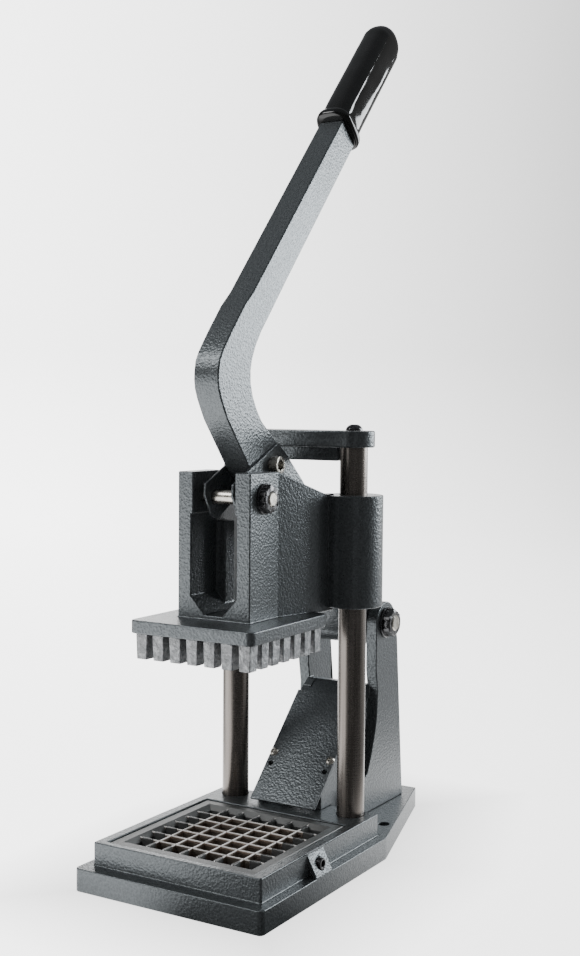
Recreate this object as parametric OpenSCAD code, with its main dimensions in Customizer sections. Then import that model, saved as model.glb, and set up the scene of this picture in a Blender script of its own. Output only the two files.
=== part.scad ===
// French fry cutter, upright lever press.
// Origin: middle of the footprint, on the table. Front faces -Y, +Z is up.
// Lengths in mm. Every "_y" value is measured back from the front edge of the foot.

/* [Base] */
// width of the foot
base_w = 150; // [130:1:170]
// length of the foot, front to back
base_len = 298; // [270:1:330]
// thickness of the foot
foot_t = 16; // [10:0.5:22]
// radius of the two front corners
foot_corner_r = 4; // [2:0.5:24]
// where the foot starts to narrow
taper_y = 169; // [150:1:190]
// width of the foot at its rear edge
tail_w = 73; // [50:1:100]
// width of the raised block
block_w = 134.5; // [125:0.5:145]
// front face of the raised block
block_y = 11; // [6:0.5:20]
// rear face of the raised block
block_end_y = 171; // [160:1:190]
// height of the top of the block
block_top = 32; // [26:0.5:40]
// radius of the block's upright corners
block_corner_r = 1.5; // [1:0.5:8]
// diameter of the mounting holes
mount_d = 8.5; // [6:0.5:12]
// distance between the mounting holes
mount_spacing = 116.4; // [100:0.2:125]
// where the mounting holes are
mount_y = 197.6; // [185:0.2:215]

/* [Blade frame] */
// outer side of the square blade frame
frame_w = 117; // [110:0.5:122]
// middle of the blade frame
grid_y = 76; // [70:0.5:85]
// gap all round the blade frame in its pocket
frame_gap = 1; // [0.3:0.1:2]
// height of the blade frame
frame_h = 14; // [10:0.5:18]
// cells along each side
cells = 7; // [5:1:9]
// distance from one blade to the next
pitch = 13.8; // [12:0.1:16]
// blade thickness
blade_t = 0.8; // [0.4:0.1:1.5]
// blade height
blade_h = 10; // [6:0.5:14]
// gap between a blade and its slot, each side
blade_gap = 0.1; // [0.05:0.05:0.2]
// thickness of a comb tooth
tooth_t = 3; // [2:0.1:5]
// length of a comb tooth
tooth_len = 9; // [5:0.5:12]

/* [Side lugs] */
// front of the side lugs
lug_y = 68; // [60:1:80]
// length of the side lugs, front to back
lug_len = 22; // [15:1:30]
// thickness of the sloping web
lug_t = 3; // [2:0.5:8]
// shank diameter of the clamp screw
clamp_d = 5; // [4:0.5:8]
// head diameter of the clamp screw
clamp_head_d = 8; // [6:0.5:11]
// head length of the clamp screw
clamp_head_h = 5; // [3:0.5:8]
// height of the clamp screw
clamp_z = 23; // [20:0.5:26]

/* [Rods and crossbar] */
// diameter of the guide rods
rod_d = 20; // [16:0.5:25]
// distance between the rod axes
rod_spacing = 100; // [90:1:110]
// where the rod axes are
rod_y = 160; // [150:0.5:175]
// how deep the rods stand in the block
rod_seat = 20; // [10:1:28]
// height of the underside of the crossbar
bar_z = 299; // [280:1:320]
// thickness of the crossbar
bar_t = 12; // [8:0.5:18]
// depth of the crossbar
bar_depth = 30; // [26:0.5:36]
// height of the rib under the crossbar
rib_h = 10; // [0:0.5:16]
// thickness of the rib
rib_t = 10; // [5:0.5:16]
// diameter of the dome heads on the crossbar
dome_d = 12.4; // [10:0.2:18]
// height of the dome heads
dome_h = 4.8; // [3:0.1:7]

/* [Ram] */
// width of the ram's bottom plate
plate_w = 98.8; // [90:0.2:110]
// front edge of the bottom plate
plate_y = 26.5; // [20:0.5:35]
// length of the bottom plate
plate_len = 99; // [90:0.5:110]
// height of the underside of the bottom plate
plate_z = 174.4; // [160:0.2:190]
// thickness of the bottom plate
plate_t = 9.1; // [6:0.1:14]
// corner radius of the bottom plate
plate_corner_r = 5; // [2:0.5:10]
// front face of the channel
channel_y = 55; // [50:0.5:62]
// outer width of the channel
channel_w = 58.5; // [50:0.5:66]
// width of the slot at the front of the channel
slot_w = 37; // [30:0.5:42]
// width of the slot at the back, round the lever
throat_w = 22; // [21:0.5:30]
// front of the inner ledges
ledge_y = 86; // [80:0.5:100]
// thickness of the inner ledges, front to back
ledge_t = 12; // [5:0.5:20]
// height of the top of the channel
channel_top = 283.5; // [270:0.5:300]
// outer diameter of the guide sleeves
sleeve_d = 43; // [34:0.5:50]
// height of the foot of the sleeves
sleeve_z = 185; // [176:1:200]
// length of the sleeves
sleeve_h = 80; // [60:1:100]
// running gap between rod and sleeve, each side
rod_gap = 0.05; // [0.02:0.01:0.1]

/* [Pusher] */
// side of a square peg
peg_w = 9.6; // [7:0.1:12]
// height of the underside of the pegs
peg_z = 156.5; // [145:0.5:165]
// thickness of the pusher's back plate
pusher_t = 3; // [2:0.5:6]

/* [Links] */
// where the lower link pivot is
low_y = 72.5; // [70:0.5:90]
// height of the lower link pivot
low_z = 266; // [250:0.5:280]
// where the upper link pivot is
up_y = 110; // [105:0.5:130]
// height of the upper link pivot
up_z = 287; // [275:0.5:300]
// thickness of a link plate
link_t = 2; // [1.5:0.1:4]
// gap between the lever and each link plate
link_gap = 0.2; // [0.1:0.1:1]
// half depth of a link at its lower end
link_low_r = 14.5; // [12:0.5:20]
// half depth of a link at its upper end
link_up_r = 12; // [11:0.5:20]
// diameter of the link pivots
link_pin_d = 10; // [8:0.5:11]
// running gap round the pivots, each side
pin_gap = 0.05; // [0.02:0.01:0.1]
// head diameter of the upper pivot screws
link_head_d = 12.4; // [12:0.2:18]
// head length of the upper pivot screws
link_head_h = 7; // [5:0.5:10]

/* [Ram bolt] */
// washer diameter
washer_d = 21; // [18:0.5:28]
// washer thickness
washer_t = 1.8; // [1:0.1:3]
// width of the nut across its flats
nut_af = 17; // [15:0.5:22]
// nut thickness
nut_t = 4.5; // [3:0.1:8]
// bolt end beyond the nut
bolt_end = 1; // [0:0.1:3]
// diameter of the bolt's neck between the links
neck_d = 7; // [5:0.5:10]

/* [Lever] */
// width of the lever
lever_w = 20; // [16:0.5:24]
// where the lever's own pivot is
pivot_y = 244; // [230:1:260]
// height of the lever's own pivot
pivot_z = 160; // [150:1:175]
// radius of the lever's hub
hub_r = 18.5; // [15:0.5:22]
// diameter of the lever's pivot bolt
pivot_d = 12; // [10:0.5:16]

/* [Grip] */
// length of the grip along the lever
grip_len = 124; // [105:1:140]
// depth of the grip, front to back
grip_depth = 33; // [26:0.5:36]
// width of the grip
grip_w = 23; // [22:0.5:30]
// corner radius of the grip
grip_r = 8; // [3:0.5:10]
// rolled collar height
collar_h = 7; // [4:0.5:14]
// how far the collar stands out
collar_out = 2.4; // [0.5:0.1:4]

/* [Stand] */
// gap between the two cheeks
cheek_gap = 51.4; // [45:0.2:56]
// thickness of a cheek
cheek_t = 9.3; // [6:0.1:12]
// radius of the rounded cheek tops
cheek_r = 16; // [13:0.5:20]
// width of the front leg
leg_w = 55; // [48:0.5:58]
// thickness of the guard plate
guard_t = 1.6; // [1:0.1:3]
// diameter of the guard screw heads
guard_head_d = 7; // [5:0.1:9]

/* [Hidden] */
// which node is drawn
$fn = 96;

// small overlap that lets a cut run past a face
eps = 1;
// gap between seated pieces
seat = 0.02;
front = -base_len / 2;

half_w = base_w / 2;
tail_half = tail_w / 2;
// how far the blade frame lies below the block's top, and the blades below the frame's
frame_drop = 0.8;
blade_drop = 1;
frame_top = block_top - frame_drop;
frame_z = frame_top - frame_h;
pocket_w = frame_w + 2 * frame_gap;
opening_w = cells * pitch;
// how far the passage and the blades reach under the rim, each side
passage_lip = 2;
blade_seat = 4;
passage_w = opening_w + 2 * passage_lip;
bevel = 3;
mouth = opening_w / 2 + bevel;
blade_top = frame_top - blade_drop;
blade_z = blade_top - blade_h;
blade_slot = blade_t + 2 * blade_gap;
blade_len = opening_w + 2 * blade_seat;
tooth_tip = 1.6;
first_line = -(cells / 2 - 1) * pitch;

wall_x = block_w / 2;
lug_mid_y = lug_y + lug_len / 2;
lug_drop = 1;
lug_top = block_top - lug_drop;
clamp_bore = clamp_d + 2 * seat;
clamp_tip_x = frame_w / 2 + seat;
// the lug's face at the height of the clamp screw, and how deep the screw's head is sunk in it
lug_face_x = wall_x + (half_w - wall_x) * (lug_top - clamp_z) / (lug_top - foot_t);
clamp_sink = 2.9;
clamp_head_x = lug_face_x - clamp_sink;
clamp_head_gap = 0.2;
clamp_head_bore = clamp_head_d + 2 * clamp_head_gap;
socket_w = 4.6;
socket_depth = 2.5;

rod_x = rod_spacing / 2;
rod_z = block_top - rod_seat;
bar_cover = 4;
rod_top = bar_z + bar_t - bar_cover;
rod_len = rod_top - rod_z;
rod_bore = rod_d + 2 * seat;
bar_screw_d = 8;
bar_screw_bore = bar_screw_d + 2 * seat;
bar_screw_len = 22;
// gap between the crossbar's rib and the rods
rib_gap = 0.5;

plate_top = plate_z + plate_t;
// the channel's floor, its inner ledges and its top pads
channel_half = channel_w / 2;
slot_half = slot_w / 2;
throat_half = throat_w / 2;
sleeve_bore = rod_d + 2 * rod_gap;
floor_half = 7;
floor_t = 3;
floor_z = plate_top + floor_t;
chamfer_z = 199;
pad_x = 17;
pad_z = 255;
ledge_top = 248;
ledge_w = 9.5;
ledge_end_y = ledge_y + ledge_t;
// where the walls start to flare and slope down, and where they end in the sleeves
shoulder_y = 90;
flare_y = 127;
flare_x = 39.5;
flare_z = 269.5;
flare_end = [flare_x + 1.5, 147];
wall_inner = [[36, 152], [30, 140], [throat_half + 9, ledge_end_y]];
sleeve_top = sleeve_z + sleeve_h;
slope_drop = 1;

peg_h = plate_z - peg_z;
pusher_w = (cells - 1) * pitch + peg_w;
pusher_gap = 0.3;
recess_w = pusher_w + 2 * pusher_gap;

link_x = lever_w / 2 + link_gap;
link_out = link_x + link_t;
link_run = [up_y - low_y, up_z - low_z];
link_span = norm(link_run);
link_angle = atan2(link_run[1], link_run[0]);
link_bore = link_pin_d + 2 * pin_gap;
// how far the link's middle line lies below each pivot, and how far its ends reach past them
link_low_drop = 0.8;
link_up_drop = 2.6;
link_low_end = 10;
link_up_end = 15.5;
// its cut corners, along the link and across it
link_cut = [4.5, 6.5];
link_socket_w = 6.9;

nut_x = channel_half + washer_t;
bolt_x = nut_x + nut_t + bolt_end;

cheek_x = cheek_gap / 2;
cheek_out = cheek_x + cheek_t;
pivot_bore = pivot_d + 2 * pin_gap;
stand_nut_t = 6;
stand_nut_af = 19;
stand_washer_d = 24;
stand_washer_x = cheek_out + washer_t;
stand_bolt_x = stand_washer_x + stand_nut_t + bolt_end;

// foot of the guard plate and its length up the slope
guard_y = 146;
guard_z = 35;
guard_len = 98.5;
guard_slope = 45;
guard_w = leg_w + 0.5;
guard_screw_x = 24.5;
guard_screw_up = 41;
guard_hole_x = 23.5;
guard_hole_up = 31.5;
guard_hole_d = 4;
guard_head_h = 2.6;
guard_slot_t = 1;
guard_slot_len = 2 * guard_slot_t + guard_head_d / 3;
guard_slot_h = 1.2;
guard_screw_len = 10;
guard_bore_len = 12;
leg_t = 8;
// height of the guard plate's underside above the table, as it rises from its foot
guard_lift = guard_t / cos(guard_slope) + seat;
function under_guard(y) = guard_z + (y - guard_y) * tan(guard_slope) - guard_lift;
guard_end_y = guard_y + guard_len * cos(guard_slope) + guard_t * sin(guard_slope) + seat;

// the stand's outlines from the side, as [distance from the front, height]
cheek_front = [
  [188, foot_t], [188, 34], [204, 39], [215, 47], [221, 60], [227, 76], [229.7, 87.5], [231, 107.6]
];
cheek_shoulder_z = 125;
cheek_back = [[264, 145], [276, foot_t]];
leg_front_y = 156;
leg_top_y = 212;
leg_back = [[222, 107], [222, 92], [206, 76], [196, 60], [196, foot_t]];
saddle_front_y = 210;
saddle_front_z = 90;
saddle_back = [[229.5, 112], [236, 112], [236, 105], [218, 96]];
// the web across the back of the cheeks
web_y = 262;
web_t = 6;
web_h = 84;

// the lever's straight upper bar: its rise, its upper end and its depth there
lever_rise = 48.1;
lever_end_y = 220.7;
lever_end_z = 536.3;
lever_end_depth = 24.3;
lever_end_across = lever_end_depth / 2 * [-sin(lever_rise), cos(lever_rise)];
tang_w = 17;
tang_depth = 21;
tang_len = 100;
tang_root = 5;
// share of the grip's depth beyond the tang's that moves it to the front
grip_ahead = 0.2;
grip_shift = grip_ahead * (grip_depth - tang_depth);
hub_gap = 0.3;

// the lever's outline from the side, as [distance from the front, height]
lever_outline = [
  [232, 148], [82.5, 287.5], [57, 318.5], [53.4, 324.5], [49, 332.3], [46.2, 339], [45.2, 345.2],
  [45.4, 351], [46.7, 358], [50.2, 364.4], [55.3, 371], [61.5, 378.8], [76.5, 396.3],
  [88, 406.6], [lever_end_y, lever_end_z] + lever_end_across,
  [lever_end_y, lever_end_z] - lever_end_across, [132.1, 418.2], [108.9, 391.4], [98.5, 379.6],
  [91.4, 369.4], [87, 360.2], [85.2, 352.3], [85.4, 343.8], [88.2, 334.6], [93.2, 325.8],
  [99.8, 317.6], [115.3, 306], [131.6, 295.5], [155.6, 274.9], [255.6, 172]
];

// measures back from the front edge of the foot
module from_front() {
  translate([0, front, 0]) children();
}

// draws its children on both sides
module both_sides() {
  children();
  mirror([1, 0, 0]) children();
}

// turns an outline of [back, up] into a slab from x0 to x1
module slab(x0, x1) {
  translate([x0, 0, 0]) rotate([90, 0, 90]) linear_extrude(x1 - x0) children();
}

// a rod along X from x0 to x1
module cross_rod(x0, x1, y, z, d) {
  translate([x0, y, z]) rotate([0, 90, 0]) cylinder(h = x1 - x0, d = d);
}

// a rectangle with round corners
module round_rect(w, l, r) {
  square([w - 2 * r, l], center = true);
  square([w, l - 2 * r], center = true);
  for (x = [-1, 1], y = [-1, 1]) translate([x * (w / 2 - r), y * (l / 2 - r)]) circle(r);
}

module foot_outline() {
  rest = half_w - foot_corner_r;
  translate([-rest, 0]) square([2 * rest, foot_corner_r + eps]);
  for (x = [-rest, rest]) translate([x, foot_corner_r]) circle(foot_corner_r);
  polygon([
    [-half_w, foot_corner_r], [half_w, foot_corner_r], [half_w, taper_y], [tail_half, base_len],
    [-tail_half, base_len], [-half_w, taper_y]
  ]);
}

module side_lug() {
  translate([0, lug_y + lug_len, 0]) rotate([90, 0, 0]) linear_extrude(lug_len) polygon([
    [wall_x - lug_t, lug_top], [wall_x, lug_top], [half_w, foot_t], [half_w, foot_t - eps],
    [half_w - lug_t, foot_t - eps], [half_w - lug_t, foot_t]
  ]);
}

module base_casting() {
  color("slategray") from_front() difference() {
    union() {
      linear_extrude(foot_t) foot_outline();
      translate([0, (block_y + block_end_y) / 2, foot_t - eps])
        linear_extrude(block_top - foot_t + eps)
          round_rect(block_w, block_end_y - block_y, block_corner_r);
      both_sides() side_lug();
    }
    translate([-pocket_w / 2, grid_y - pocket_w / 2, frame_z - seat])
      cube([pocket_w, pocket_w, block_top]);
    translate([-passage_w / 2, grid_y - passage_w / 2, -eps])
      cube([passage_w, passage_w, block_top]);
    for (x = [-rod_x, rod_x]) translate([x, rod_y, rod_z]) cylinder(h = block_top, d = rod_bore);
    for (x = [-1, 1]) translate([x * mount_spacing / 2, mount_y, -eps])
      cylinder(h = foot_t + 2 * eps, d = mount_d);
    both_sides() cross_rod(clamp_tip_x, half_w + eps, lug_mid_y, clamp_z, clamp_bore);
    both_sides() cross_rod(clamp_head_x - seat, half_w + eps, lug_mid_y, clamp_z, clamp_head_bore);
  }
}

module cheek_outline() {
  polygon(concat(
    cheek_front,
    [[pivot_y - cheek_r, cheek_shoulder_z], [pivot_y - cheek_r, pivot_z], [pivot_y + cheek_r, pivot_z]],
    cheek_back
  ));
  translate([pivot_y, pivot_z]) circle(cheek_r);
}

module leg_outline() {
  polygon(concat(
    [[block_end_y, foot_t], [block_end_y, block_top], [leg_front_y, block_top]],
    [for (y = [leg_front_y, leg_top_y]) [y, under_guard(y)]],
    leg_back
  ));
}

// the web between the cheeks, just above the guard plate
module saddle_outline() {
  polygon(concat(
    [[saddle_front_y, saddle_front_z]],
    [for (y = [saddle_front_y, guard_end_y]) [y, under_guard(y)]],
    saddle_back
  ));
}

module rear_stand() {
  color("slategray") from_front() difference() {
    union() {
      both_sides() slab(cheek_x, cheek_out) cheek_outline();
      both_sides() slab(leg_w / 2 - leg_t, leg_w / 2) leg_outline();
      slab(-leg_w / 2, leg_w / 2) saddle_outline();
      translate([-cheek_x - eps, web_y, foot_t]) cube([cheek_gap + 2 * eps, web_t, web_h]);
    }
    cross_rod(-cheek_out - eps, cheek_out + eps, pivot_y, pivot_z, pivot_d + 2 * seat);
    both_sides() on_guard(guard_screw_x, guard_screw_up) translate([0, 0, -guard_bore_len])
      cylinder(h = guard_bore_len + eps, d = guard_hole_d + 2 * seat);
    both_sides() on_guard(guard_hole_x, guard_hole_up) translate([0, 0, -guard_bore_len])
      cylinder(h = guard_bore_len + eps, d = guard_hole_d);
  }
}

// puts its children on the guard plate's face, up the slope from its foot
module on_guard(x, up) {
  translate([0, guard_y, guard_z]) rotate([guard_slope, 0, 0]) translate([x, up, 0]) children();
}

module guard_plate() {
  color("slategray") from_front() difference() {
    on_guard(-guard_w / 2, 0) translate([0, 0, -guard_t]) cube([guard_w, guard_len, guard_t]);
    both_sides() on_guard(guard_screw_x, guard_screw_up) translate([0, 0, -guard_t - eps])
      cylinder(h = guard_t + 2 * eps, d = guard_hole_d + 2 * seat);
    both_sides() on_guard(guard_hole_x, guard_hole_up) translate([0, 0, -guard_t - eps])
      cylinder(h = guard_t + 2 * eps, d = guard_hole_d);
  }
}

// a shallow dome head of diameter d and height h, on the plane z = 0
module dome(d, h) {
  ball_r = (d * d / 4 + h * h) / (2 * h);
  difference() {
    translate([0, 0, h - ball_r]) sphere(ball_r);
    translate([-ball_r - eps, -ball_r - eps, -2 * ball_r - eps])
      cube([2 * ball_r + 2 * eps, 2 * ball_r + 2 * eps, 2 * ball_r + eps]);
  }
}

module guard_screws() {
  color("tan") from_front() both_sides() on_guard(guard_screw_x, guard_screw_up) difference() {
    union() {
      dome(guard_head_d, guard_head_h);
      translate([0, 0, -guard_screw_len])
        cylinder(h = guard_screw_len + guard_head_h / 2, d = guard_hole_d);
    }
    for (turn = [0, 90]) rotate([0, 0, turn]) translate([0, 0, guard_head_h])
      cube([guard_slot_len, guard_slot_t, 2 * guard_slot_h], center = true);
  }
}

module guide_rod(side) {
  color("silver") from_front() translate([side * rod_x, rod_y, rod_z]) difference() {
    cylinder(h = rod_len, d = rod_d);
    translate([0, 0, rod_len - bar_screw_len]) cylinder(h = bar_screw_len + eps, d = bar_screw_bore);
  }
}

module rod_left() {
  guide_rod(-1);
}

module rod_right() {
  guide_rod(1);
}

module crossbar() {
  rib_w = rod_spacing - rod_d - 2 * rib_gap;
  color("slategray") from_front() translate([0, rod_y, bar_z]) difference() {
    union() {
      linear_extrude(bar_t) square([rod_spacing, bar_depth], center = true);
      for (x = [-rod_x, rod_x]) translate([x, 0, 0]) cylinder(h = bar_t, d = bar_depth);
      translate([-rib_w / 2, -rib_t / 2, -rib_h]) cube([rib_w, rib_t, rib_h + eps]);
    }
    for (x = [-rod_x, rod_x]) translate([x, 0, -eps]) {
      cylinder(h = bar_t - bar_cover + eps, d = rod_bore);
      cylinder(h = bar_t + 2 * eps, d = bar_screw_bore);
    }
  }
}

module crossbar_screws() {
  color("dimgray") from_front() for (x = [-rod_x, rod_x]) translate([x, rod_y, bar_z + bar_t])
    difference() {
      union() {
        dome(dome_d, dome_h);
        translate([0, 0, -bar_cover - bar_screw_len + eps])
          cylinder(h = bar_cover + bar_screw_len, d = bar_screw_d);
      }
      translate([0, 0, dome_h - socket_depth]) cylinder(h = dome_h, d = socket_w, $fn = 6);
    }
}

// one wall of the channel, as it flares back into its guide sleeve
module wall_outline() {
  polygon([
    [slot_half, channel_y], [channel_half, channel_y], [channel_half, shoulder_y],
    [flare_x, flare_y], flare_end, wall_inner[0], wall_inner[1], wall_inner[2], [slot_half, ledge_y]
  ]);
}

module ram_body() {
  floor_len = ledge_end_y - channel_y;
  both_sides() difference() {
    translate([0, 0, plate_top - eps]) linear_extrude(channel_top - plate_top + eps) wall_outline();
    slab(0, base_w) polygon([
      [shoulder_y, channel_top], [flare_y, flare_z], [rod_y - sleeve_d / 2, sleeve_top + slope_drop],
      [rod_y, sleeve_top], [base_len, sleeve_top], [base_len, channel_top + eps],
      [shoulder_y, channel_top + eps]
    ]);
  }
  translate([0, ledge_end_y, 0]) rotate([90, 0, 0]) linear_extrude(floor_len) polygon([
    [-slot_half - eps, plate_top - eps], [slot_half + eps, plate_top - eps],
    [slot_half + eps, chamfer_z], [slot_half, chamfer_z], [floor_half, floor_z],
    [-floor_half, floor_z], [-slot_half, chamfer_z], [-slot_half - eps, chamfer_z]
  ]);
  both_sides() translate([throat_half, ledge_y, plate_top - eps])
    cube([ledge_w, ledge_t, ledge_top - plate_top + eps]);
  both_sides() translate([pad_x, channel_y, pad_z])
    cube([slot_half - pad_x + eps, ledge_y - channel_y, channel_top - pad_z]);
}

module ram_casting() {
  color("slategray") from_front() difference() {
    union() {
      ram_body();
      translate([0, plate_y + plate_len / 2, plate_z]) linear_extrude(plate_t)
        round_rect(plate_w, plate_len, plate_corner_r);
      both_sides() translate([rod_x, rod_y, sleeve_z]) cylinder(h = sleeve_h, d = sleeve_d);
    }
    both_sides() translate([rod_x, rod_y, sleeve_z - eps])
      cylinder(h = sleeve_h + 2 * eps, d = sleeve_bore);
    translate([-recess_w / 2, grid_y - recess_w / 2, plate_z - eps])
      cube([recess_w, recess_w, pusher_t + seat + eps]);
    cross_rod(-channel_half - eps, channel_half + eps, low_y, low_z, link_pin_d + 2 * seat);
  }
}

module pusher_block() {
  color("lightgray") from_front() {
    translate([-pusher_w / 2, grid_y - pusher_w / 2, plate_z]) cube([pusher_w, pusher_w, pusher_t]);
    for (i = [0:cells - 1], j = [0:cells - 1])
      translate([i * pitch - pusher_w / 2, grid_y + j * pitch - pusher_w / 2, peg_z])
        cube([peg_w, peg_w, peg_h + eps]);
  }
}

// draws its children at each blade line, along Y at their x
module each_line() {
  for (i = [0:cells - 2]) translate([first_line + i * pitch, 0, 0]) children();
}

// turns lengthwise things crosswise
module crosswise() {
  rotate([0, 0, 90]) children();
}

module frame_teeth() {
  for (side = [0, 180]) rotate([0, 0, side]) each_line() translate([0, opening_w / 2, 0])
    linear_extrude(blade_top - frame_z) polygon([
      [-tooth_t / 2, eps], [-tooth_tip / 2, -tooth_len], [tooth_tip / 2, -tooth_len], [tooth_t / 2, eps]
    ]);
}

module blade_slots() {
  lift = blade_z - frame_z - seat;
  each_line() translate([-blade_slot / 2, -blade_len / 2 - seat, lift])
    cube([blade_slot, blade_len + 2 * seat, frame_h]);
}

module blade_frame() {
  color("dimgray") from_front() translate([0, grid_y, frame_z]) difference() {
    union() {
      difference() {
        translate([-frame_w / 2, -frame_w / 2, 0]) cube([frame_w, frame_w, frame_h]);
        translate([-opening_w / 2, -opening_w / 2, -eps])
          cube([opening_w, opening_w, frame_h + 2 * eps]);
        for (a = [0:90:270]) rotate([0, 0, a]) slab(-mouth, mouth) polygon([
          [opening_w / 2 - eps, frame_h - bevel - eps], [mouth + eps, frame_h + eps],
          [opening_w / 2 - eps, frame_h + eps]
        ]);
      }
      frame_teeth();
      crosswise() frame_teeth();
    }
    blade_slots();
    crosswise() blade_slots();
  }
}

module blade_set(notch_z) {
  each_line() difference() {
    translate([-blade_t / 2, -blade_len / 2, 0]) cube([blade_t, blade_len, blade_h]);
    crosswise() each_line() translate([-blade_slot / 2, -blade_t, notch_z])
      cube([blade_slot, 2 * blade_t, blade_h / 2 + eps + blade_gap]);
  }
}

module blades_lengthwise() {
  color("silver") from_front() translate([0, grid_y, blade_z])
    blade_set(blade_h / 2 - blade_gap);
}

module blades_crosswise() {
  color("silver") from_front() translate([0, grid_y, blade_z]) crosswise() blade_set(-eps);
}

module clamp_screws() {
  color("dimgray") from_front() both_sides() difference() {
    union() {
      cross_rod(clamp_tip_x, clamp_head_x + eps, lug_mid_y, clamp_z, clamp_d);
      cross_rod(clamp_head_x, clamp_head_x + clamp_head_h, lug_mid_y, clamp_z, clamp_head_d);
    }
    translate([clamp_head_x + clamp_head_h - socket_depth, lug_mid_y, clamp_z])
      rotate([0, 90, 0]) cylinder(h = clamp_head_h, d = socket_w, $fn = 6);
  }
}

// puts its children at the upper end of the lever, +Z along it
module on_lever_end() {
  translate([0, lever_end_y, lever_end_z]) rotate([lever_rise - 90, 0, 0]) children();
}

module lever_arm() {
  hub_x = cheek_x - hub_gap;
  color("slategray") from_front() difference() {
    union() {
      slab(-lever_w / 2, lever_w / 2) polygon(lever_outline);
      cross_rod(-hub_x, hub_x, pivot_y, pivot_z, 2 * hub_r);
      on_lever_end() translate([-tang_w / 2, -tang_depth / 2, -tang_root])
        cube([tang_w, tang_depth, tang_root + tang_len]);
    }
    cross_rod(-hub_x - eps, hub_x + eps, pivot_y, pivot_z, pivot_bore);
    cross_rod(-lever_w / 2 - eps, lever_w / 2 + eps, up_y, up_z, link_pin_d + 2 * seat);
  }
}

// a bar of the given width with a half-round end, from z = 0 to h
module round_end(w, h) {
  translate([-w / 2, -eps]) square([w, h - w / 2 + eps]);
  translate([0, h - w / 2]) circle(d = w);
}

module grip() {
  hole_w = tang_w + 2 * seat;
  hole_depth = tang_depth + 2 * seat;
  color("black") from_front() on_lever_end() difference() {
    translate([0, -grip_shift, 0]) union() {
      intersection() {
        linear_extrude(grip_len) round_rect(grip_w, grip_depth, grip_r);
        slab(-grip_w, grip_w) round_end(grip_depth, grip_len);
        translate([0, grip_depth, 0]) rotate([90, 0, 0]) linear_extrude(2 * grip_depth)
          round_end(grip_w, grip_len);
      }
      linear_extrude(collar_h)
        round_rect(grip_w + 2 * collar_out, grip_depth + 2 * collar_out, grip_r + collar_out);
    }
    translate([-hole_w / 2, -hole_depth / 2, -eps]) cube([hole_w, hole_depth, tang_len + 2 * eps]);
  }
}

module link_outline() {
  low = [-link_low_end, -link_low_drop];
  up = [link_span + link_up_end, -link_up_drop];
  difference() {
    translate([low_y, low_z]) rotate(link_angle) polygon([
      low + [0, link_low_r - link_cut[1]], low + [link_cut[0], link_low_r], up + [0, link_up_r],
      up + [0, link_cut[1] - link_up_r], up - [link_cut[0], link_up_r],
      low + [link_cut[0], -link_low_r], low + [0, link_cut[1] - link_low_r]
    ]);
    translate([low_y, low_z]) circle(d = link_bore);
    translate([up_y, up_z]) circle(d = link_pin_d + 2 * seat);
  }
}

module link_left() {
  color("darkslategray") from_front() slab(-link_out, -link_x) link_outline();
}

module link_right() {
  color("darkslategray") from_front() slab(link_x, link_out) link_outline();
}

module link_screws() {
  color("silver") from_front() both_sides() difference() {
    union() {
      cross_rod(link_x, link_out + eps, up_y, up_z, link_pin_d);
      cross_rod(link_out, link_out + link_head_h, up_y, up_z, link_head_d);
    }
    translate([link_out + link_head_h / 2, up_y, up_z]) rotate([0, 90, 0])
      cylinder(h = link_head_h, d = link_socket_w, $fn = 6);
  }
}

module lever_pin() {
  pin_x = lever_w / 2 - pin_gap;
  color("silver") from_front() cross_rod(-pin_x, pin_x, up_y, up_z, link_pin_d);
}

module ram_bolt() {
  color("silver") from_front() {
    cross_rod(-link_x, link_x, low_y, low_z, neck_d);
    both_sides() cross_rod(link_x - pin_gap, bolt_x, low_y, low_z, link_pin_d);
  }
}

// a washer on a cross bolt of diameter d
module washer(x, y, z, outer, d) {
  difference() {
    cross_rod(x, x + washer_t, y, z, outer);
    cross_rod(x - eps, x + washer_t + eps, y, z, d + 2 * seat);
  }
}

// a hexagon nut on a cross bolt of diameter d
module nut(x, y, z, af, t, d) {
  difference() {
    translate([x, y, z]) rotate([0, 90, 0]) cylinder(h = t, d = af / cos(30), $fn = 6);
    cross_rod(x - eps, x + t + eps, y, z, d + 2 * seat);
  }
}

module ram_washers() {
  color("dimgray") from_front() both_sides()
    washer(channel_half, low_y, low_z, washer_d, link_pin_d);
}

module ram_nuts() {
  color("dimgray") from_front() both_sides() nut(nut_x, low_y, low_z, nut_af, nut_t, link_pin_d);
}

module stand_bolt() {
  color("silver") from_front() cross_rod(-stand_bolt_x, stand_bolt_x, pivot_y, pivot_z, pivot_d);
}

module stand_washers() {
  color("dimgray") from_front() both_sides()
    washer(cheek_out, pivot_y, pivot_z, stand_washer_d, pivot_d);
}

module stand_nuts() {
  color("dimgray") from_front() both_sides()
    nut(stand_washer_x, pivot_y, pivot_z, stand_nut_af, stand_nut_t, pivot_d);
}

base_casting();
rear_stand();
guard_plate();
guard_screws();
rod_left();
rod_right();
crossbar();
crossbar_screws();
ram_casting();
pusher_block();
blade_frame();
blades_lengthwise();
blades_crosswise();
clamp_screws();
lever_arm();
grip();
link_left();
link_right();
link_screws();
lever_pin();
ram_bolt();
ram_washers();
ram_nuts();
stand_bolt();
stand_washers();
stand_nuts();
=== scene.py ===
import math

import bmesh
import bpy
from mathutils import Matrix, Vector


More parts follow.
